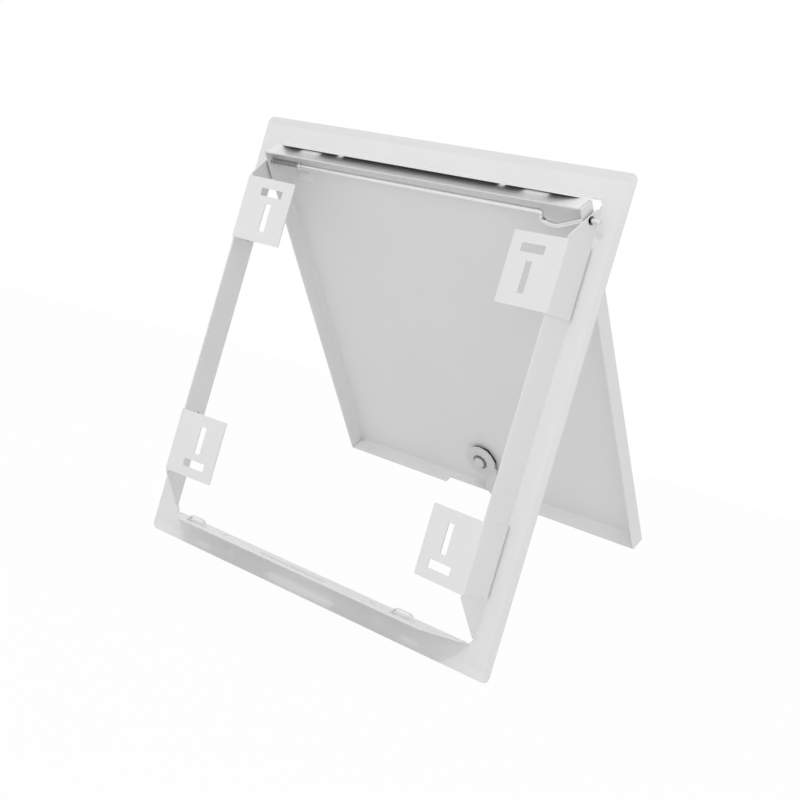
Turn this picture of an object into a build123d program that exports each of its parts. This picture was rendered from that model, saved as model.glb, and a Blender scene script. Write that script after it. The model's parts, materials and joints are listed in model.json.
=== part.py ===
# Flush access panel, nominal opening 300 x 300, steel frame with a drop-in hinged door.
#
# The frame stands upright as it does in a wall. +Z is up, -Y faces the room, +Y goes into the wall.
# The origin is the centre of the frame's opening, in the plane of the flange's back face, which is
# the face that lies on the wall. Seen from the room, left is -X and right is +X.
# All lengths are in millimetres and all angles in degrees.
import os
from math import cos, pi, radians, sin, tan

from build123d import *

os.makedirs("parts", exist_ok=True)

# Sheet steel
sheet = 1.0
bend_inner_radius = 0.8

# Frame: flange round the opening
opening_width = 300.0
opening_height = 300.0
flange_width = 20.0
flange_corner_radius = 5.0
flange_web_chamfer = 3.4
rim_width = 5.5
rim_rise = 1.5
rim_corner_radius = 1.0

# Frame: the four flaps folded back from the opening, each with its own lean towards the opening
flap_depth = 24.2
side_flap_lean = 7.0
top_flap_lean = 11.5
bottom_flap_lean = 2.0
side_flap_end_gap = 3.8
cross_flap_end_gap = 2.0
flap_mitre_angle = 48.0

# Frame: punched features of the top and bottom flaps
latch_slot_length = 68.0
latch_slot_width = 7.0
latch_slot_depth = 14.1
bottom_pattern_shift = 5.0
flap_hole_diameter = 5.0
flap_hole_spacing = 151.0
flap_hole_depth = 10.7
bridge_length = 20.0
bridge_rise = 4.5
bridge_run = 3.4
bridge_bend_radius = 3.0
bridge_width = 3.0
bridge_slot_width = 5.0
bridge_inset = 43.0
stop_gap = 0.3

# Frame: weld holes beside the lugs and the hinge holes
weld_hole_diameter = 3.0
weld_hole_depth = 8.0
weld_hole_inset = 1.8
hinge_hole_diameter = 6.0

# Lugs: four angle brackets on the outer faces of the side flaps
lug_height = 49.0
lug_end_gap = 32.0
lug_plate_width = 46.0
lug_leg_start = 1.2
lug_edge_gap = 0.25
lug_bend_radius = 0.2
lug_corner_radius = 0.8
lug_feature_x = 26.2
window_length = 20.5
window_width = 6.0
window_edge = 10.4
window_corner_radius = 0.8
slot_width = 5.4
slot_start = 19.0
slot_length = 21.3

# Hinge line
hinge_y = 7.6
hinge_to_top = 10.8

# Door tray
open_angle = 43.5
door_side_gap = 2.75
door_top_gap = 4.6
door_bottom_gap = 1.4
door_return = 13.8
door_corner_slit = 0.5
rod_hole_diameter = 4.4
notch_width = 75.0
notch_start = 8.0

# Hinge rod
rod_diameter = 3.6
rod_left_reach = 5.5
rod_right_reach = 4.0
rod_tip_chamfer = 0.5
bow_length = 33.5
bow_depth = 9.2
bow_back = 3.0
bow_drop = 6.4
bow_belly = 9.0
bow_start_radius = 2.2
bow_turn_radius = 2.6
bow_belly_radius = 14.0
bow_end_radius = 4.0
bow_end_gap = 1.1

# Spring and clip on the rod
spring_length = 30.0
spring_outer_diameter = 5.4
spring_wire = 0.6
spring_turns = 13
spring_runs_per_turn = 8
clip_diameter = 6.6
clip_thickness = 0.5
clip_height = 1.3
clip_rim = 0.7
clip_grip_clearance = 0.03
clip_teeth = 8
clip_notch_depth = 0.6
clip_notch_width = 1.0

# Lock
lock_height = 29.2
escutcheon_diameter = 25.0
escutcheon_height = 2.0
escutcheon_bevel = 0.6
barrel_diameter = 18.0
barrel_clearance = 0.15
nut_across_flats = 22.0
nut_height = 2.6
nut_gap = 0.2
nut_clearance = 0.05
spindle_diameter = 9.0
spindle_head_diameter = 12.0
spindle_head_depth = 1.6
spindle_clearance = 0.06
key_slot_length = 8.0
key_slot_width = 1.6
key_slot_depth = 1.0
drive_square = 6.0
drive_clearance = 0.05
drive_relief = 0.1
cam_gap = 0.2
cam_hub_diameter = 27.0
cam_thickness = 2.5
cam_reach = 34.0
cam_width = 13.0
cam_crank_start = 14.0
cam_crank_run = 6.0
cam_crank_rise = 8.4
cam_crank_lap = 1.2
cam_tip_flat = 0.1
lock_angle = 42.0
washer_diameter = 13.0
washer_thickness = 0.7
washer_teeth = 10
washer_notch_depth = 1.6
washer_notch_width = 1.2
screw_head_diameter = 9.2
screw_head_height = 2.2
screw_diameter = 3.0
screw_depth = 6.0
screw_clearance = 0.05
screw_tip_gap = 0.3
screw_head_round = 0.8

# Derived sizes
half_w = opening_width / 2
half_h = opening_height / 2
bend_outer_radius = bend_inner_radius + sheet
flange_half_w = half_w + flange_width
flange_half_h = half_h + flange_width
door_half_w = half_w - door_side_gap
door_face = hinge_y + sheet
door_height = opening_height - door_top_gap - door_bottom_gap
door_bottom = hinge_to_top - door_height
hinge_z = half_h - door_top_gap - hinge_to_top
lug_inner_z = half_h - lug_end_gap - lug_height
weld_hole_z = lug_inner_z + weld_hole_inset
bridge_spacing = 2 * (half_w - cross_flap_end_gap - bridge_inset)
stop_depth = door_return - sheet + stop_gap + bridge_width / 2

open_sin = sin(radians(open_angle))
open_cos = cos(radians(open_angle))
# door_plane lies on the hinge line, parallel to the open door: x towards the left jamb seen from the
# room, y towards the door's top edge and the normal out of the tray's open side.
door_plane = Plane(origin=(0, hinge_y, hinge_z), x_dir=(-1, 0, 0), z_dir=(0, open_cos, -open_sin))
door_outer = door_plane.offset(-door_face)


# One flap seen along its bend: a strip of flange, the bend and the leaning flap. The first number of
# each point runs outwards from the opening's centre and the second goes into the wall.
def flap_profile(edge, lean):
    front = (edge + 2 * bend_outer_radius, -sheet)
    corner = (edge, -sheet)
    tip = (edge - (flap_depth + sheet) * tan(radians(lean)), flap_depth)
    return front, corner, tip


# Frame: flange with a turned-back rim, and four flaps with mitred ends.
with BuildPart() as frame:
    # The flange and its rim: a flat field whose outer margin slopes back towards the wall.
    with BuildSketch(Plane.XZ.offset(sheet)):
        RectangleRounded(
            2 * (flange_half_w - rim_width),
            2 * (flange_half_h - rim_width),
            rim_corner_radius,
        )
    with BuildSketch(Plane.XZ.offset(sheet - rim_rise)):
        RectangleRounded(2 * flange_half_w, 2 * flange_half_h, flange_corner_radius)
    loft()
    with BuildSketch(Plane.XZ.offset(sheet - rim_rise)):
        RectangleRounded(2 * flange_half_w, 2 * flange_half_h, flange_corner_radius)
    extrude(amount=-sheet)
    with BuildSketch(Plane.XZ):
        RectangleRounded(
            2 * (flange_half_w - rim_width),
            2 * (flange_half_h - rim_width),
            rim_corner_radius,
        )
    with BuildSketch(Plane.XZ.offset(-rim_rise)):
        RectangleRounded(2 * flange_half_w, 2 * flange_half_h, flange_corner_radius)
    loft(mode=Mode.SUBTRACT)
    # The opening, cut back to the bends. A chamfered web stays in each corner, between the flaps.
    with BuildSketch(Plane.XZ.offset(sheet)):
        Rectangle(opening_width, opening_height)
        chamfer(vertices(), flange_web_chamfer)
        Rectangle(2 * (half_w + bend_outer_radius), 2 * (half_h - side_flap_end_gap))
        Rectangle(2 * (half_w - cross_flap_end_gap), 2 * (half_h + bend_outer_radius))
    extrude(amount=-2 * sheet - rim_rise, mode=Mode.SUBTRACT)
    # Side flaps
    for side in (1, -1):
        front, corner, tip = flap_profile(half_w, side_flap_lean)
        with BuildSketch(Plane.XY):
            with BuildLine():
                FilletPolyline(
                    (side * front[0], front[1]),
                    (side * corner[0], corner[1]),
                    (side * tip[0], tip[1]),
                    radius=bend_outer_radius,
                )
                offset(amount=sheet, side=Side.RIGHT if side > 0 else Side.LEFT)
            make_face()
        extrude(amount=half_h - side_flap_end_gap, both=True)
    # Top and bottom flaps
    for side, lean in ((1, top_flap_lean), (-1, bottom_flap_lean)):
        front, corner, tip = flap_profile(half_h, lean)
        with BuildSketch(Plane.YZ):
            with BuildLine():
                FilletPolyline(
                    (front[1], side * front[0]),
                    (corner[1], side * corner[0]),
                    (tip[1], side * tip[0]),
                    radius=bend_outer_radius,
                )
                offset(amount=sheet, side=Side.LEFT if side > 0 else Side.RIGHT)
            make_face()
        extrude(amount=half_w - cross_flap_end_gap, both=True)
    # Mitred ends of the side flaps, cut at the same angle at both ends
    mitre_run = 2 * flap_depth
    mitre_fall = mitre_run * tan(radians(flap_mitre_angle))
    side_mitre_reach = flap_depth * tan(radians(side_flap_lean)) + 4 * sheet
    for side in (1, -1):
        with BuildSketch(Plane.YZ.offset(side * (half_w + 2 * sheet))):
            for end in (1, -1):
                with BuildLine():
                    Polyline(
                        (bend_outer_radius, end * (half_h - side_flap_end_gap)),
                        (mitre_run, end * (half_h - side_flap_end_gap - mitre_fall)),
                        (mitre_run, end * (half_h + mitre_run)),
                        (bend_outer_radius, end * (half_h + mitre_run)),
                        (bend_outer_radius, end * (half_h - side_flap_end_gap)),
                    )
                make_face()
        extrude(amount=-side * side_mitre_reach, mode=Mode.SUBTRACT)
    # Mitred ends of the top and bottom flaps
    for side, lean in ((1, top_flap_lean), (-1, bottom_flap_lean)):
        cross_mitre_reach = flap_depth * tan(radians(lean)) + 4 * sheet
        with BuildSketch(Plane.XY.offset(side * (half_h + 2 * sheet))):
            for end in (1, -1):
                with BuildLine():
                    Polyline(
                        (end * (half_w - cross_flap_end_gap), bend_outer_radius),
                        (end * (half_w - cross_flap_end_gap - mitre_fall), mitre_run),
                        (end * (half_w + mitre_run), mitre_run),
                        (end * (half_w + mitre_run), bend_outer_radius),
                        (end * (half_w - cross_flap_end_gap), bend_outer_radius),
                    )
                make_face()
        extrude(amount=-side * cross_mitre_reach, mode=Mode.SUBTRACT)
    # Bottom flap: the latch slot, two round holes and two slots under bridge straps, all a little
    # off centre together. The straps stand in the opening just behind the closed door's return and
    # stop it flush. Top flap: the same holes and slots, centred and without straps, because the
    # door's top edge swings past there.
    for side, lean, shift in ((1, top_flap_lean, 0.0), (-1, bottom_flap_lean, bottom_pattern_shift)):
        lean_sin = sin(radians(lean))
        lean_cos = cos(radians(lean))
        flap_plane = Plane(
            origin=(shift, -sheet, side * half_h),
            x_dir=(1, 0, 0),
            z_dir=(0, lean_sin, side * lean_cos),
        )
        depth_sign = side
        with BuildSketch(flap_plane):
            with Locations(
                (-flap_hole_spacing / 2, depth_sign * (flap_hole_depth + sheet)),
                (flap_hole_spacing / 2, depth_sign * (flap_hole_depth + sheet)),
            ):
                Circle(flap_hole_diameter / 2)
            with Locations(
                (-bridge_spacing / 2, depth_sign * (stop_depth + sheet)),
                (bridge_spacing / 2, depth_sign * (stop_depth + sheet)),
            ):
                Rectangle(bridge_length, bridge_slot_width)
            if side < 0:
                with Locations((0, depth_sign * (latch_slot_depth + sheet))):
                    SlotOverall(latch_slot_length, latch_slot_width)
        extrude(amount=2 * sheet, both=True, mode=Mode.SUBTRACT)
        for place in (-bridge_spacing / 2, bridge_spacing / 2) if side < 0 else ():
            strap_origin = flap_plane.from_local_coords(
                (place, depth_sign * (stop_depth + sheet), 0)
            )
            opening_side = flap_plane.z_dir * -1
            strap_plane = Plane(
                origin=strap_origin, x_dir=(1, 0, 0), z_dir=Vector(1, 0, 0).cross(opening_side)
            )
            with BuildSketch(strap_plane) as strap:
                with BuildLine():
                    Polyline(
                        (-bridge_length / 2 - sheet, -sheet),
                        (-bridge_length / 2 - sheet / 2, 0),
                        (bridge_run - bridge_length / 2, bridge_rise),
                        (bridge_length / 2 - bridge_run, bridge_rise),
                        (bridge_length / 2 + sheet / 2, 0),
                        (bridge_length / 2 + sheet, -sheet),
                        (bridge_length / 2, -sheet),
                        (bridge_length / 2 - bridge_run - sheet / 2, bridge_rise - sheet),
                        (bridge_run + sheet / 2 - bridge_length / 2, bridge_rise - sheet),
                        (-bridge_length / 2, -sheet),
                        (-bridge_length / 2 - sheet, -sheet),
                    )
                make_face()
                fillet(strap.vertices().sort_by(Axis.Y)[-4:-2], bridge_bend_radius)
                fillet(strap.vertices().sort_by(Axis.Y)[-2:], bridge_bend_radius + sheet)
            extrude(amount=bridge_width / 2, both=True)
    # Hinge holes and weld holes, straight through both side flaps
    with BuildSketch(Plane.YZ):
        with Locations((hinge_y, hinge_z)):
            Circle(hinge_hole_diameter / 2)
        with Locations((weld_hole_depth, weld_hole_z), (weld_hole_depth, -weld_hole_z)):
            Circle(weld_hole_diameter / 2)
    extrude(amount=flange_half_w, both=True, mode=Mode.SUBTRACT)
frame.part.label = "frame"

# Lugs: an angle bracket welded on the outer face of a side flap. Its leg lies on the flap and its
# plate folds over the flap's free edge, square to the leg, with a window and a fixing slot.
flap_slope = radians(side_flap_lean)
flap_outward = Vector(cos(flap_slope), sin(flap_slope), 0)
flap_inward = Vector(-sin(flap_slope), cos(flap_slope), 0)
# lug_section: origin on the flap's opening side at the flange's front, x outwards, y down the flap
lug_section = Plane(origin=(half_w, -sheet, 0), x_dir=flap_outward, z_dir=(0, 0, 1))
flap_length = (flap_depth + sheet) / cos(flap_slope)
lug_top = flap_length + lug_edge_gap + sheet
# plate_plane: on the plate's outer face, x from the fold towards the opening, y up
plate_plane = Plane(
    origin=lug_section.from_local_coords((2 * sheet, lug_top, 0)),
    x_dir=flap_outward * -1,
    z_dir=flap_inward,
)
with BuildPart() as lug_upper_right:
    with BuildSketch(lug_section.offset(lug_inner_z)):
        with BuildLine():
            FilletPolyline(
                (2 * sheet, lug_leg_start + sheet),
                (2 * sheet, lug_top),
                (2 * sheet - lug_plate_width, lug_top),
                radius=lug_bend_radius + sheet,
            )
            offset(amount=sheet, side=Side.LEFT)
        make_face()
    extrude(amount=lug_height)
    fillet(
        lug_upper_right.edges().filter_by(Axis((0, 0, 0), flap_inward)).sort_by(Axis.X)[:2],
        lug_corner_radius,
    )
    with BuildSketch(plate_plane):
        with Locations((lug_feature_x, lug_inner_z + lug_height - window_edge)):
            RectangleRounded(window_length, window_width, window_corner_radius)
        with Locations((lug_feature_x, lug_inner_z + lug_height - slot_start - slot_length / 2)):
            Rectangle(slot_width, slot_length)
    extrude(amount=2 * sheet, both=True, mode=Mode.SUBTRACT)
lug_upper_right.part.label = "lug_upper_right"
with BuildPart() as lug_upper_left:
    mirror(lug_upper_right.part, about=Plane.YZ)
lug_upper_left.part.label = "lug_upper_left"
with BuildPart() as lug_lower_right:
    mirror(lug_upper_right.part, about=Plane.XY)
lug_lower_right.part.label = "lug_lower_right"
with BuildPart() as lug_lower_left:
    mirror(lug_upper_left.part, about=Plane.XY)
lug_lower_left.part.label = "lug_lower_left"

# Door: a tray of one folded sheet, its returns butted at the corners with a thin slit.
door_mid = (hinge_to_top + door_bottom) / 2
into_wall = Axis((0, 0, 0), door_plane.z_dir)
with BuildPart() as door:
    with BuildSketch(door_outer):
        with Locations((0, door_mid)):
            Rectangle(2 * door_half_w, door_height)
    extrude(amount=door_return)
    fillet(door.faces().sort_by(into_wall)[0].edges(), bend_outer_radius)
    offset(amount=-sheet, openings=door.faces().sort_by(into_wall)[-1])
    # Slits at the corners of the returns
    with BuildSketch(door_outer.offset(bend_outer_radius)):
        with Locations((0, door_mid)):
            with GridLocations(2 * door_half_w - 2 * sheet - door_corner_slit, door_height, 2, 2):
                Rectangle(door_corner_slit, 2 * sheet)
    extrude(amount=door_return, mode=Mode.SUBTRACT)
    # Finger notch in the bottom return, open to its free edge
    with BuildSketch(door_outer.offset(notch_start)):
        with Locations((0, door_bottom)):
            Rectangle(notch_width, 4 * sheet)
    extrude(amount=door_return, mode=Mode.SUBTRACT)
    # Rod holes in the side returns
    with BuildSketch(Plane.YZ):
        with Locations((hinge_y, hinge_z)):
            Circle(rod_hole_diameter / 2)
    extrude(amount=half_w, both=True, mode=Mode.SUBTRACT)
    # Lock hole
    with BuildSketch(door_outer):
        with Locations((0, door_bottom + lock_height)):
            Circle(barrel_diameter / 2 + barrel_clearance)
    extrude(amount=2 * sheet, both=True, mode=Mode.SUBTRACT)
door.part.label = "door"

# Hinge rod: one length of wire through the side flaps and the door's side returns, with a shallow
# bow near its left end that a finger pulls to draw the rod out of the left flap.
rod_left = half_w + sheet + rod_left_reach
rod_right = -(half_w + sheet + rod_right_reach)
bow_end = door_half_w - sheet - bow_end_gap
bow_start = bow_end - bow_length
with BuildPart() as hinge_rod:
    with BuildLine(door_plane) as rod_path:
        FilletPolyline(
            (rod_right, 0),
            (bow_start, 0),
            (bow_start - bow_back, -bow_drop),
            (bow_start + bow_belly, -bow_depth),
            (bow_end, 0),
            (rod_left, 0),
            radius=[bow_start_radius, bow_turn_radius, bow_belly_radius, bow_end_radius],
        )
    with BuildSketch(Plane(origin=rod_path.line @ 0, z_dir=rod_path.line % 0)):
        Circle(rod_diameter / 2)
    sweep(path=rod_path.line)
    chamfer(hinge_rod.faces().filter_by(Axis.X).edges(), rod_tip_chamfer)
hinge_rod.part.label = "hinge_rod"

# Spring: coiled round the rod between the right side return and the clip. Its wire is drawn in
# short straight runs, eight to a turn.
spring_start = -(door_half_w - sheet)
spring_radius = (spring_outer_diameter - spring_wire) / 2
spring_runs = int(spring_turns * spring_runs_per_turn)
with BuildPart() as hinge_spring:
    with BuildLine(Plane(origin=(-spring_start, hinge_y, hinge_z), x_dir=(0, 1, 0), z_dir=(-1, 0, 0))) as coil:
        Polyline(
            *(
                (
                    spring_radius * cos(2 * pi * k / spring_runs_per_turn),
                    spring_radius * sin(2 * pi * k / spring_runs_per_turn),
                    spring_wire / 2 + (spring_length - spring_wire) * k / spring_runs,
                )
                for k in range(spring_runs + 1)
            )
        )
    with BuildSketch(Plane(origin=coil.line @ 0, z_dir=coil.line % 0)):
        RegularPolygon(spring_wire / 2, 6)
    sweep(path=coil.line, transition=Transition.RIGHT)
hinge_spring.part.label = "hinge_spring"

# Clip: a dished push-on washer with a notched rim. It grips the rod and holds the spring.
clip_place = spring_start + spring_length
clip_plane = Plane(
    origin=door_plane.from_local_coords((clip_place, 0, 0)), x_dir=(0, 0, 1), z_dir=(-1, 0, 0)
)
clip_bore = rod_diameter / 2 + clip_grip_clearance
with BuildPart() as rod_clip:
    with BuildSketch(Plane(clip_plane.origin, x_dir=(0, 0, 1), z_dir=(0, 1, 0))) as clip_section:
        with BuildLine():
            Polyline(
                (clip_diameter / 2, 0),
                (clip_diameter / 2, -clip_thickness),
                (clip_diameter / 2 - clip_rim, -clip_thickness),
                (clip_bore, -clip_height),
                (clip_bore, clip_thickness - clip_height),
                (clip_diameter / 2 - clip_rim, 0),
                (clip_diameter / 2, 0),
            )
        make_face()
    revolve(axis=Axis((0, hinge_y, hinge_z), (1, 0, 0)))
    with BuildSketch(clip_plane.offset(-clip_height)):
        with PolarLocations(clip_diameter / 2, clip_teeth):
            Rectangle(2 * clip_notch_depth, clip_notch_width)
    extrude(amount=3 * clip_height, mode=Mode.SUBTRACT)
rod_clip.part.label = "rod_clip"

# Lock: a barrel through the door, held by a nut, with a keyed spindle that turns a cranked cam.
lock_centre = door_outer.from_local_coords((0, door_bottom + lock_height, 0))
lock_plane = Plane(origin=lock_centre, x_dir=door_plane.x_dir, z_dir=door_plane.z_dir)
with BuildPart() as lock_body:
    with BuildSketch(lock_plane):
        Circle(escutcheon_diameter / 2)
    extrude(amount=-escutcheon_height)
    chamfer(lock_body.edges().filter_by(GeomType.CIRCLE).sort_by(into_wall)[0], escutcheon_bevel)
    with BuildSketch(lock_plane):
        Circle(barrel_diameter / 2)
    extrude(amount=sheet + nut_height + nut_gap)
    with BuildSketch(lock_plane.offset(-escutcheon_height)):
        Circle(spindle_head_diameter / 2 + spindle_clearance)
    extrude(amount=spindle_head_depth + spindle_clearance, mode=Mode.SUBTRACT)
    with BuildSketch(lock_plane):
        Circle(spindle_diameter / 2 + spindle_clearance)
    extrude(amount=cam_reach, both=True, mode=Mode.SUBTRACT)
lock_body.part.label = "lock_body"

with BuildPart() as lock_nut:
    with BuildSketch(lock_plane.offset(sheet)):
        RegularPolygon(nut_across_flats / 2, 6, major_radius=False)
        Circle(barrel_diameter / 2 + nut_clearance, mode=Mode.SUBTRACT)
    extrude(amount=nut_height)
lock_nut.part.label = "lock_nut"

# The turning pieces are drawn with the cam at rest, swung from straight down towards the left jamb.
arm_out = door_plane.x_dir * sin(radians(lock_angle)) - door_plane.y_dir * cos(radians(lock_angle))
cam_plane = Plane(origin=lock_centre, x_dir=arm_out, z_dir=door_plane.z_dir)
cam_seat = sheet + nut_height + nut_gap + cam_gap
with BuildPart() as lock_spindle:
    with BuildSketch(cam_plane.offset(-escutcheon_height)):
        Circle(spindle_head_diameter / 2)
    extrude(amount=spindle_head_depth)
    with BuildSketch(cam_plane.offset(-escutcheon_height)):
        Circle(spindle_diameter / 2)
    extrude(amount=escutcheon_height + cam_seat)
    with BuildSketch(cam_plane.offset(cam_seat)):
        Rectangle(drive_square, drive_square)
    extrude(amount=cam_thickness - drive_relief)
    with BuildSketch(cam_plane.offset(-escutcheon_height)):
        Rectangle(key_slot_length, key_slot_width)
    extrude(amount=key_slot_depth, mode=Mode.SUBTRACT)
    with BuildSketch(cam_plane.offset(cam_seat + cam_thickness)):
        Circle(screw_diameter / 2 + screw_clearance)
    extrude(amount=-screw_depth, mode=Mode.SUBTRACT)
lock_spindle.part.label = "lock_spindle"

arm_section = Plane(origin=lock_centre, x_dir=arm_out, z_dir=cam_plane.y_dir * -1)
with BuildPart() as cam:
    with BuildSketch(cam_plane.offset(cam_seat)):
        Circle(cam_hub_diameter / 2)
    extrude(amount=cam_thickness)
    with BuildSketch(arm_section):
        with BuildLine():
            Polyline(
                (0, cam_seat),
                (cam_crank_start, cam_seat),
                (cam_crank_start + cam_crank_run, cam_seat + cam_crank_rise),
                (cam_reach, cam_seat + cam_crank_rise),
                (cam_reach, cam_seat + cam_crank_rise + cam_thickness),
                (cam_crank_start + cam_crank_run - cam_crank_lap, cam_seat + cam_crank_rise + cam_thickness),
                (cam_crank_start - cam_crank_lap, cam_seat + cam_thickness),
                (0, cam_seat + cam_thickness),
                (0, cam_seat),
            )
        make_face()
    extrude(amount=cam_width / 2, both=True)
    tip_edges = cam.edges().filter_by(Axis((0, 0, 0), door_plane.z_dir))
    fillet(tip_edges.sort_by(Axis((0, 0, 0), arm_out))[-2:], cam_width / 2 - cam_tip_flat)
    with BuildSketch(cam_plane.offset(cam_seat)):
        Rectangle(drive_square + 2 * drive_clearance, drive_square + 2 * drive_clearance)
    extrude(amount=cam_thickness, mode=Mode.SUBTRACT)
cam.part.label = "cam"

with BuildPart() as cam_washer:
    with BuildSketch(cam_plane.offset(cam_seat + cam_thickness)):
        Circle(washer_diameter / 2)
        with PolarLocations(washer_diameter / 2, washer_teeth):
            Rectangle(washer_notch_depth, washer_notch_width, mode=Mode.SUBTRACT)
        Circle(screw_diameter / 2 + screw_clearance, mode=Mode.SUBTRACT)
    extrude(amount=washer_thickness)
cam_washer.part.label = "cam_washer"

screw_seat = cam_seat + cam_thickness + washer_thickness
with BuildPart() as cam_screw:
    with BuildSketch(cam_plane.offset(screw_seat)):
        Circle(screw_head_diameter / 2)
    extrude(amount=screw_head_height)
    chamfer(
        cam_screw.edges().filter_by(GeomType.CIRCLE).sort_by(into_wall)[-1],
        screw_head_round,
    )
    with BuildSketch(cam_plane.offset(screw_seat)):
        Circle(screw_diameter / 2)
    extrude(amount=screw_tip_gap - screw_depth - washer_thickness)
cam_screw.part.label = "cam_screw"

for piece in (
    frame,
    lug_upper_left,
    lug_upper_right,
    lug_lower_left,
    lug_lower_right,
    door,
    hinge_rod,
    hinge_spring,
    rod_clip,
    lock_body,
    lock_nut,
    lock_spindle,
    cam,
    cam_washer,
    cam_screw,
):
    export_step(piece.part, f"parts/{piece.part.label}.step")
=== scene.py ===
# %% [markdown]
# A flush access panel, as it is bought: a white steel frame with a door hung in its opening. The
# solids are already made and packed, in metres, so the scene starts from them. +Z is up, -Y is the
# room side, +Y is the wall side, and the panel stands upright, as it does in a wall.
#
# Blender's work here is the looks: what each finish does to light, the wound spring, the bare
# label, and a camera and lights that show the panel from the wall side with its door hanging open.

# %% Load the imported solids
import json
from math import cos, pi, radians, sin

import bpy
import numpy as np
from mathutils import Matrix, Vector


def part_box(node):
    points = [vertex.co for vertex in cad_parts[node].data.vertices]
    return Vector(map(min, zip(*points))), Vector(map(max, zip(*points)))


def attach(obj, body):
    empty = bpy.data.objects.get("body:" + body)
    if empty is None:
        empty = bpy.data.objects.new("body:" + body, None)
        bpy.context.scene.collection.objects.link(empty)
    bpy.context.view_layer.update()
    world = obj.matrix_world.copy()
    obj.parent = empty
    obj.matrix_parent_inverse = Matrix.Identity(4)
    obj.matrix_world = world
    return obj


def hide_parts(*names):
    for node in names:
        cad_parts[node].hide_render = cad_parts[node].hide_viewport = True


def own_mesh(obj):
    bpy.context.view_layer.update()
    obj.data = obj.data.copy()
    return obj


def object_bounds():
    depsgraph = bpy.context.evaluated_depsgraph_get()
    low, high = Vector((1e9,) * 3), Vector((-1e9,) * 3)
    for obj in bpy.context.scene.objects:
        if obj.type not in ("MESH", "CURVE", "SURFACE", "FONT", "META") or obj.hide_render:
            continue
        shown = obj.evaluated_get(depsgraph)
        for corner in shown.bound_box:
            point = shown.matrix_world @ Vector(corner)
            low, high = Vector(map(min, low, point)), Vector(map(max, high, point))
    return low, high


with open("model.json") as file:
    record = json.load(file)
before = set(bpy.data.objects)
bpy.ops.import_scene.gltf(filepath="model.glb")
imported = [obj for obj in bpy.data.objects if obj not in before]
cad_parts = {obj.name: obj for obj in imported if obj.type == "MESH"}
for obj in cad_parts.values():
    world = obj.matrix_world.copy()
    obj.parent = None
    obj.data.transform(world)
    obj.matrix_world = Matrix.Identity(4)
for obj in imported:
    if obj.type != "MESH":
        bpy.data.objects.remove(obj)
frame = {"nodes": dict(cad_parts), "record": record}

cad_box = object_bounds()
nodes = frame["nodes"]
joints = {joint["name"]: joint for joint in frame["record"]["behaviour"]["joints"]}

# %% [markdown]
# Shader maths reads best as an expression. The small class below wraps one output of a node tree.
# Adding or multiplying wrapped values adds the Math node that does it, so a line such as
# `peel * 0.8 + grain * 0.2` becomes nodes. The other way, wiring each node by hand, takes five
# lines for every sum.

# %% A socket that does arithmetic
class Val:
    """One shader output. Operators on it add Math nodes to its tree."""

    def __init__(self, tree, socket):
        self.tree = tree
        self.socket = socket

    def math(self, operation, first, second):
        """A Math node on two values, either of which may be a plain number."""
        return self.tree.node("ShaderNodeMath", {"operation": operation}, {0: first, 1: second})

    def __add__(self, other):
        return self.math("ADD", self, other)

    def __radd__(self, other):
        return self.math("ADD", other, self)

    def __mul__(self, other):
        return self.math("MULTIPLY", self, other)

    def __rmul__(self, other):
        return self.math("MULTIPLY", other, self)

    def at_most(self, other):
        """The smaller of two values."""
        return self.math("MINIMUM", self, other)


print("operators ready: + *")

# %% [markdown]
# Every node comes from one method, which takes its type, then its settings, then what goes into its
# sockets. The same method serves the materials, the floor and the sky, so all of them read alike.

# %% One method that adds any node
class Tree:
    """A node tree, and the one method that adds a node to it."""

    def __init__(self, node_tree):
        self.data = node_tree

    def feed(self, slot, value):
        """Puts a wrapped output, a colour or a plain value into an input."""
        if isinstance(value, Val):
            self.data.links.new(value.socket, slot)
        elif slot.type == "RGBA" and len(value) == 3:
            slot.default_value = (*value, 1.0)
        else:
            slot.default_value = value

    def node(self, kind, settings=None, inputs=None, out=0):
        """Adds one node: its settings first, then its inputs, by name or by number."""
        made = self.data.nodes.new(kind)
        for key, value in (settings or {}).items():
            setattr(made, key, value)
        for key, value in (inputs or {}).items():
            self.feed(made.inputs[key], value)
        return Val(self, made.outputs[out])

    def seen_plain(self):
        """One where a ray comes from the camera or from a mirror or glass, and 0 elsewhere."""
        camera_ray, glossy_ray, glass_ray = (
            self.node("ShaderNodeLightPath", out=f"Is {kind} Ray")
            for kind in ("Camera", "Glossy", "Transmission")
        )
        return (camera_ray + glossy_ray + glass_ray).at_most(1.0)

    def eased(self, value, low, high, start=0.0, end=1.0):
        """Start below low and end above high, and between them a curve that eases in and out."""
        limits = {"From Min": low, "From Max": high, "To Min": start, "To Max": end}
        settings = {"interpolation_type": "SMOOTHSTEP"}
        return self.node("ShaderNodeMapRange", settings, {"Value": value, **limits})

    def surface(self, output, shader):
        """Leads a shader to the surface of the tree's output node."""
        self.feed(self.data.nodes[output].inputs["Surface"], shader)


print("node method ready")
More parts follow.
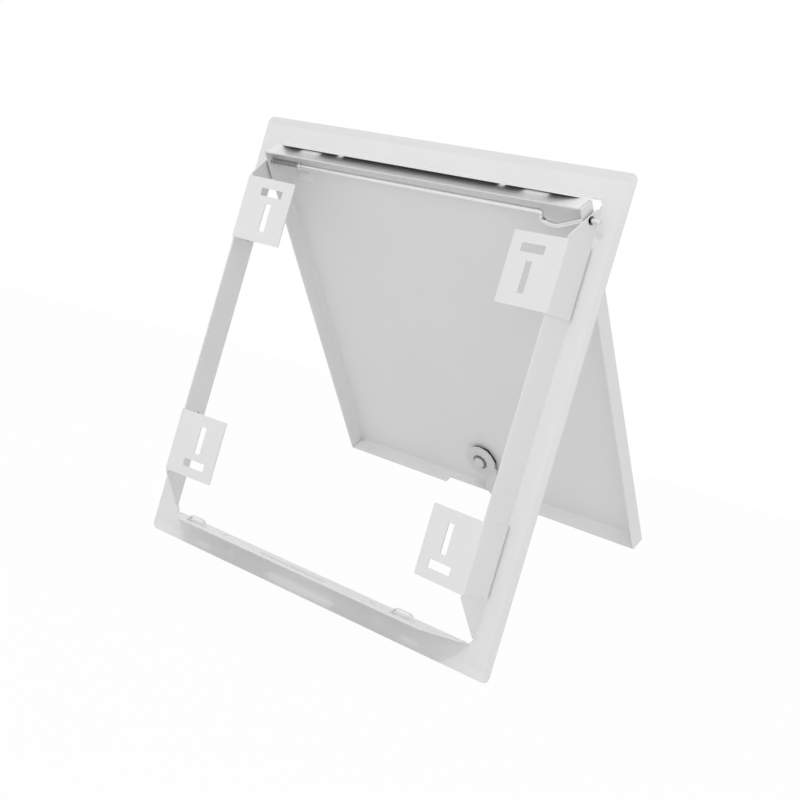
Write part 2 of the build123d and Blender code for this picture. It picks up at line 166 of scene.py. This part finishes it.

# %% [markdown]
# A finish is a Principled shader with a few patterns led into it. All patterns read Object
# coordinates, in metres, because a finished piece sits at the origin and so its pattern stays put
# when the piece moves. The recess mask finds narrow places, such as the slit between the door's top
# fold and the frame. It paints shade into a finish's colour there, where soft lamps leave it too
# pale.

# %% What every finish can use
class Finish(Tree):
    """A material under construction."""

    def __init__(self, name):
        self.material = bpy.data.materials.new(name)
        self.material.use_nodes = True
        super().__init__(self.material.node_tree)
        self.shader = self.data.nodes["Principled BSDF"]

    def noise(self, cells, detail=2.0, roughness=0.5):
        """Cloudy noise on Object coordinates, in cells per metre. Its value sits about 0.5."""
        place = self.node("ShaderNodeTexCoord", out="Object")
        inputs = {"Vector": place, "Scale": cells, "Detail": detail, "Roughness": roughness}
        return self.node("ShaderNodeTexNoise", inputs=inputs)

    def tint(self, factor, low, high):
        """Mixes two colours by a factor."""
        sides = {"Factor": factor, 6: low, 7: high}
        return self.node("ShaderNodeMix", {"data_type": "RGBA"}, sides, out=2)

    def bump(self, height, distance):
        """A relief whose highest point stands a distance in metres above its lowest."""
        return self.node("ShaderNodeBump", inputs={"Height": height, "Distance": distance})

    def painted_shade_mask(self, reach, low, high):
        """Mask for painted shade: 0 deep in a recess, 1 in the open, by what lies within a reach in
        metres.
        """
        openness = self.node(
            "ShaderNodeAmbientOcclusion", {"samples": 12}, {"Distance": reach}, out="AO"
        )
        return self.eased(openness, low, high)

    def set(self, **values):
        """Puts values on the Principled shader, with underscores for the spaces in its names."""
        for key, value in values.items():
            self.feed(self.shader.inputs[key.replace("_", " ")], value)
        return self.material


print("patterns: noise, tint, bump, painted_shade_mask")

# %% [markdown]
# Shaders work in linear light, but a maker thinks in screen shades from 0 to 255. Two short
# functions turn one into the other. A grey is warmed or cooled by a shade or less, because a pure
# grey looks lifeless.

# %% Screen shades
def linear(value):
    """A screen shade, 0 to 255, as the linear number that shaders use: the sRGB curve undone."""
    part = value / 255.0
    return part / 12.92 if part <= 0.04045 else ((part + 0.055) / 1.055) ** 2.4


def shade(value, warm=0.0):
    """A grey of the given screen shade, a little warmer or cooler."""
    return (linear(value + warm), linear(value), linear(value - warm))


print("shade 238 is", tuple(round(c, 3) for c in shade(238, 0.2)))

# %% [markdown]
# The frame, the lugs and the door wear one finish: white polyester powder, baked on. It isn't
# glossy and it isn't flat. Powder melts into a film with the faint pebble of orange peel, two or
# three millimetres across and under a hundredth deep, with a finer grain inside it. A little
# uneven roughness keeps the highlights alive.

# %% White powder coat
def powder_coat(name, white, rough):
    """Pebbled baked powder: two noises for relief, one for tone and gloss, painted shade in
    recesses.
    """
    mat = Finish(name)
    slow = mat.noise(14.0)
    peel = mat.noise(430.0, roughness=0.45)
    grain = mat.noise(2300.0, detail=1.0)
    coat = mat.tint(slow, shade(white - 3, 0.2), shade(white + 2, 0.2))
    # Painted shade: the coat's colour turns dark grey (shade 74) deep in narrow recesses and gaps.
    shade_painted_open = mat.painted_shade_mask(reach=0.014, low=0.03, high=0.38)
    return mat.set(
        Base_Color=mat.tint(shade_painted_open, shade(74), coat),
        Roughness=rough - 0.06 + slow * 0.12,
        Normal=mat.bump(peel * 0.85 + grain * 0.15, distance=0.000009),
        IOR=1.5,
        Coat_Weight=0.12,
        Coat_Roughness=0.3,
    )


white_powder = powder_coat("WhitePowderCoat", white=238, rough=0.42)
print("made", white_powder.name)

# %% [markdown]
# Wire and small steel parts are zinc plated. Zinc is a soft grey metal with a fine grain and
# cloudy patches where the passivation dried, so its colour and roughness both drift. The rod has
# shade painted into its colour where it is closed in, under the spring's turns, so the turns stand
# out.

# %% Zinc plate and steel
def plated(name, low, high, rough, cells=160.0, depth=0.000004, painted_recess_shade=False):
    """Metal with a cloudy shade between two greys, a fine grain and, if asked, painted shade in
    recesses.
    """
    mat = Finish(name)
    cloud = mat.noise(cells, detail=4.0, roughness=0.6)
    grain = mat.noise(2600.0)
    colour = mat.tint(cloud, low, high)
    if painted_recess_shade:
        # Painted shade: the colour turns nearly black where the wire is closed in, as under the
        # spring.
        shade_painted_open = mat.painted_shade_mask(reach=0.0022, low=0.78, high=0.99)
        colour = mat.tint(shade_painted_open, shade(24), colour)
    return mat.set(
        Base_Color=colour,
        Metallic=1.0,
        Roughness=rough - 0.06 + cloud * 0.12,
        Normal=mat.bump(grain, depth),
    )


rod_wire = plated("ZincWire", shade(226, 1), shade(244), 0.32, painted_recess_shade=True)
spring_wire = plated("SpringWire", shade(222), shade(240), 0.36)
dark_steel = plated("DarkSteel", shade(20, 1), shade(178, 1), 0.4, cells=900.0, depth=0.00002)
cast_zinc = plated("CastZinc", shade(198, 0.5), shade(224), 0.26, depth=0.000015)
print("made", [m.name for m in (rod_wire, spring_wire, dark_steel, cast_zinc)])

# %% [markdown]
# The cam and the cap of its screw are moulded white plastic. Moulded nylon is softer to look at
# than paint: light goes a little way into it, and its skin has a fine even texture.

# %% Moulded plastic
def moulded(name, white, rough):
    """Even plastic with a fine skin texture and a trace of scattering."""
    mat = Finish(name)
    skin = mat.noise(1900.0)
    slow = mat.noise(60.0)
    return mat.set(
        Base_Color=mat.tint(slow, shade(white - 4, 0.6), shade(white, 0.4)),
        Roughness=rough - 0.04 + slow * 0.08,
        Normal=mat.bump(skin, distance=0.00002),
        IOR=1.46,
        Subsurface_Weight=0.06,
        Subsurface_Radius=(0.0012, 0.0011, 0.001),
    )


white_plastic = moulded("MouldedPlastic", white=226, rough=0.46)
print("made", white_plastic.name)

# %% [markdown]
# Each solid keeps its shape and takes its finish by its own name, as the parts are bought: sheet
# parts powder coated, wire parts plated, the lock cast and its cam moulded.

# %% Give the solids their finishes
finishes = {
    "frame": white_powder,
    "lug_upper_left": white_powder,
    "lug_upper_right": white_powder,
    "lug_lower_left": white_powder,
    "lug_lower_right": white_powder,
    "door": white_powder,
    "hinge_rod": rod_wire,
    "hinge_spring": spring_wire,
    "rod_clip": spring_wire,
    "lock_body": cast_zinc,
    "lock_nut": rod_wire,
    "lock_spindle": cast_zinc,
    "cam": white_plastic,
    "cam_washer": dark_steel,
    "cam_screw": white_plastic,
}
for name, finish in finishes.items():
    solid = nodes[name].data
    solid.materials.clear()
    solid.materials.append(finish)
print("finished", len(finishes), "solids")

# %% [markdown]
# The hinge line and the open door give every new piece its place. The hinge runs along X, and its
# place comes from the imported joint. At rest the door hangs open by as much as the joint can still
# turn back to shut it. Two directions describe the door: one up it towards its hinged edge, one out
# of the tray's open side.

# %% Places on the door
hinge = np.array(joints["door_hinge"]["pos_m"], float)
open_angle = radians(-joints["door_hinge"]["range_deg"][0])
across = np.array([-1.0, 0.0, 0.0])
up_door = np.array([0.0, sin(open_angle), cos(open_angle)])
out_of_tray = np.array([0.0, cos(open_angle), -sin(open_angle)])
outer_face, inner_face = -0.0086, -0.0076
lower_edge = -0.2832


def on_door(x, y, z):
    """Points x across, y up and z out of the tray from the hinge line: hinge + x A + y U + z T."""
    x, y, z = np.broadcast_arrays(x, y, z)
    return hinge + x[..., None] * across + y[..., None] * up_door + z[..., None] * out_of_tray


print("door's lower edge:", on_door(0.0, lower_edge, outer_face).round(4))

# %% [markdown]
# Every new piece is a surface worked out with numpy: a grid of points from a formula, stitched into
# quads. One helper turns a grid into a mesh. It can also join the grid's sides and cap its ends,
# and then no edge is left open.

# %% From a grid of points to a mesh
def grid_mesh(name, points, wrap=False, caps=False):
    """Stitches an array of points, rows by columns by 3, into quads.

    Each quad joins point (i, j) to its neighbours in the next row and column. wrap joins the last
    column to the first, and caps closes the two end rows with one face each.
    """
    rows, columns = points.shape[:2]
    index = np.arange(rows * columns).reshape(rows, columns)
    corners = [index[:-1], np.roll(index, -1, 1)[:-1], np.roll(index, -1, 1)[1:], index[1:]]
    quads = np.stack(corners, axis=-1)[:, : columns if wrap else columns - 1]
    faces = quads.reshape(-1, 4).tolist()
    if caps:
        faces += [index[0][::-1].tolist(), index[-1].tolist()]
    mesh = bpy.data.meshes.new(name)
    mesh.from_pydata(points.reshape(-1, 3).tolist(), [], faces)
    mesh.shade_smooth()
    piece = bpy.data.objects.new(name, mesh)
    bpy.context.collection.objects.link(piece)
    print(name, "has", len(points.reshape(-1, 3)), "points and", len(faces), "faces")
    return piece


print("mesh helper ready")

# %% [markdown]
# The hinge spring is wound from round wire. It pushes the rod into its hole, and shortens when the
# rod is pulled back to lift the door out. A Screw modifier could wind it, but with an even pitch. A
# compression spring's end turns lie close and its middle turns are open, so here the angle runs
# evenly along the wire and the length gains little at the ends.

# %% The line of the wire
wire = 0.0007
coil_radius = 0.00235
turns = 13
closed_pitch = wire * 1.02
spring_low, spring_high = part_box("hinge_spring")
spring_length = spring_high[0] - spring_low[0]


def wound_line(per_turn=24, dead_turns=1.2):
    """Turn angle and axial place along the wire.

    The pitch is about one wire thick at both ends and rises by 3e^2 - 2e^3 to its full value over
    the dead turns, e being the share of them that is passed. The place is the pitch summed up.
    """
    turn = np.linspace(0.0, turns, turns * per_turn + 1)
    passed = np.clip(np.minimum(turn, turns - turn) / dead_turns, 0.0, 1.0)
    opened = passed * passed * (3.0 - 2.0 * passed)
    gained = np.cumsum(np.r_[0.0, (opened[1:] + opened[:-1]) / 2.0 * np.diff(turn)])
    closed = closed_pitch * turn
    open_pitch = (spring_length - wire - closed[-1]) / gained[-1]
    return 2.0 * pi * turn, wire / 2.0 + closed + open_pitch * gained


angle, along = wound_line()
print("wire length", round(float(coil_radius * angle[-1]) * 1000), "mm")

# %% [markdown]
# The wire's skin is a ring of points carried along that line. The ring's first direction points
# straight out from the hinge line, so it turns with the coil and never twists; its second is square
# to that and to the wire. The spring stays with the door.

# %% The wound hinge spring
def wound_wire(name, sides=10):
    """Points L + r (O cos a + S sin a): L the wire's line, O straight out, S = tangent x O."""
    flat = np.zeros_like(angle)
    out = np.stack([flat, np.cos(angle), np.sin(angle)], axis=1)
    line = hinge + coil_radius * out
    line[:, 0] = spring_high[0] - along
    step = np.gradient(line, axis=0)
    tangent = step / np.linalg.norm(step, axis=1, keepdims=True)
    beside = np.cross(tangent, out)
    round_wire = np.linspace(0.0, 2.0 * pi, sides, endpoint=False)[None, :, None]
    ring = out[:, None] * np.cos(round_wire) + beside[:, None] * np.sin(round_wire)
    return grid_mesh(name, line[:, None] + wire / 2.0 * ring, wrap=True, caps=True)


spring = wound_wire("wound_spring")
spring.data.materials.append(spring_wire)
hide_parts("hinge_spring")
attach(spring, "door")
rod_travel = joints["rod_slide"]["range_m"][1]
float(1.0 - rod_travel / spring_length)
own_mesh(spring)

# %% [markdown]
# A small paper label sits inside the door near the hinge. It stays bare. A label is a film with
# round corners, a tenth of a millimetre thick, and its edge catches the light. It is made as four
# rings of points: at the door's face, up the edge, just over it, and drawn in to the middle.

# %% The bare label
def rounded_rectangle(width, height, corner, per_corner=8):
    """Points round a rectangle: each corner's centre plus r (cos a, sin a) over its quarter."""
    start = np.arange(4)[:, None] * pi / 2.0
    turn = start + np.linspace(0.0, pi / 2.0, per_corner)
    side = np.sign(np.cos(start + pi / 4.0)), np.sign(np.sin(start + pi / 4.0))
    x = side[0] * (width / 2.0 - corner) + corner * np.cos(turn)
    y = side[1] * (height / 2.0 - corner) + corner * np.sin(turn)
    return x.ravel(), y.ravel()


def film(name, centre, size, corner, thickness):
    """The outline scaled by 1 - inset and lifted off the door's face, ring by ring."""
    x, y = rounded_rectangle(*size, corner)
    inset = np.array([0.0, 0.0, 0.006, 0.9])[:, None]
    lift = thickness * np.array([0.0, 0.6, 1.0, 1.0])[:, None]
    kept = 1.0 - inset
    points = on_door(centre[0] + kept * x, centre[1] + kept * y, inner_face + lift)
    return grid_mesh(name, points, wrap=True, caps=True)


label = film(
    "bare_label",
    centre=(-0.1238, -0.0145),
    size=(0.0185, 0.0093),
    corner=0.0008,
    thickness=0.00012,
)

# %% [markdown]
# Coated label paper is a little whiter and smoother than the powder under it, with the fibres of
# the paper just to be seen in its gloss.

# %% Label paper
def paper(name, white):
    """Coated paper with a fine fibre in its shade, gloss and relief."""
    mat = Finish(name)
    fibre = mat.noise(900.0, detail=4.0, roughness=0.6)
    return mat.set(
        Base_Color=mat.tint(fibre, shade(white - 5), shade(white)),
        Roughness=0.3 + fibre * 0.12,
        Normal=mat.bump(fibre, distance=0.00001),
    )


label.data.materials.append(paper("LabelPaper", white=243))
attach(label, "door")
print("label on the door's inner face")

# %% [markdown]
# The camera stands on the wall side, to the right of the opening as seen from there. The panel in
# the photograph is tilted, and here it stands upright, so the camera is rolled by sixteen degrees
# instead. Its three directions are written as rows: right, down and forwards.

# %% The camera
eye = Vector((-0.6130563, 0.7303008, 0.0198530))
right = Vector((-0.7464769, -0.6032763, 0.2807667))
down = Vector((-0.2410937, -0.1480646, -0.9591406))
ahead = Vector((0.6201984, -0.7836674, -0.0349193))
focal_pixels, frame_pixels, sensor = 1328.03, 800.0, 36.0
camera_data = bpy.data.cameras.new("camera")
camera_data.sensor_width = sensor
camera_data.lens = focal_pixels / frame_pixels * sensor
camera_data.clip_start = 0.01
camera_data.clip_end = 100.0
camera = bpy.data.objects.new("camera", camera_data)
turned = Matrix((right, -down, -ahead)).transposed().to_4x4()
camera.matrix_world = Matrix.Translation(eye) @ turned
bpy.context.collection.objects.link(camera)
bpy.context.scene.camera = camera
print("lens", round(camera_data.lens, 2), "mm")

# %% [markdown]
# The floor is plain and pale, a real sheet just under the panel. To the camera, and in mirrors, it
# is nearly plain white, and a little of its own shading stays in, so that it keeps the panel's
# shadow. For the rest of the light it is a soft grey that throws some light back up.

# %% The floor
def floor_sheet(name, height, half):
    """A flat square sheet, written as a grid of four points."""
    side = np.array([-half, half])
    x, y = np.meshgrid(side, side, indexing="ij")
    return grid_mesh(name, np.stack([x, y, np.full_like(x, height)], axis=-1))


floor_gap = 0.0002
floor = floor_sheet("floor", height=float(cad_box[0][2]) - floor_gap, half=4.0)
pale = Finish("PaleFloor")
own_shading = Val(pale, pale.shader.outputs[0])
pale.set(Base_Color=shade(232), Roughness=0.9)
white_light = pale.node("ShaderNodeEmission", inputs={"Strength": 1.0})
plain_share = 0.96
whiteness = pale.seen_plain() * plain_share
pale.surface(
    "Material Output",
    pale.node("ShaderNodeMixShader", inputs={0: whiteness, 1: own_shading, 2: white_light}),
)
floor.data.materials.append(pale.material)

# %% [markdown]
# The sky is the room's light: weaker near the horizon and stronger overhead, as under a studio's
# ceiling. The camera and mirrors see it plain white. One sky that grades smoothly gives the soft
# shading between the folded faces that a single flat grey wouldn't.

# %% The sky
sky_low, sky_high = 0.64, 0.86
world = bpy.data.worlds.new("studio")
world.use_nodes = True
bpy.context.scene.world = world
sky = Tree(world.node_tree)
way = sky.node("ShaderNodeTexCoord", out="Generated")
rise = sky.node("ShaderNodeSeparateXYZ", inputs={0: way}, out="Z")
graded = sky.eased(rise, low=0.15, high=0.75, start=sky_low, end=sky_high)
white = (1.0, 1.0, 1.0)
room = sky.node("ShaderNodeBackground", inputs={"Color": white, "Strength": graded})
plain = sky.node("ShaderNodeBackground", inputs={"Color": white, "Strength": 1.0})
sky.surface(
    "World Output",
    sky.node("ShaderNodeMixShader", inputs={0: sky.seen_plain(), 1: room, 2: plain}),
)
print("sky from", sky_low, "to", sky_high)

# %% [markdown]
# Two lamps do the rest. A small softbox stands high on the wall side and throws the flaps' shadows
# and the bright spots through their holes, and a wide one fills in from beside the camera.

# %% The lamps
def softbox(name, direction, distance, size, power):
    """A square lamp that looks at the panel from a direction, at a distance in metres."""
    lamp = bpy.data.lights.new(name, "AREA")
    lamp.shape = "SQUARE"
    lamp.size = size
    lamp.energy = power
    piece = bpy.data.objects.new(name, lamp)
    piece.location = Vector(direction).normalized() * distance
    piece.rotation_euler = piece.location.to_track_quat("Z", "Y").to_euler()
    bpy.context.collection.objects.link(piece)
    print(name, "lamp", power, "watts")


softbox("key", direction=(0.0, 0.70, 0.72), distance=2.4, size=0.3, power=7.0)
softbox("fill", direction=(-0.62, 0.78, 0.1), distance=2.2, size=1.4, power=5.0)

# %% [markdown]
# Last, the view stays plain, so that a colour renders about as it is written. The solids' own
# and that of the dressed panel, which has to stay inside it.

# %% The plain view
bpy.context.scene.view_settings.view_transform = "Standard"
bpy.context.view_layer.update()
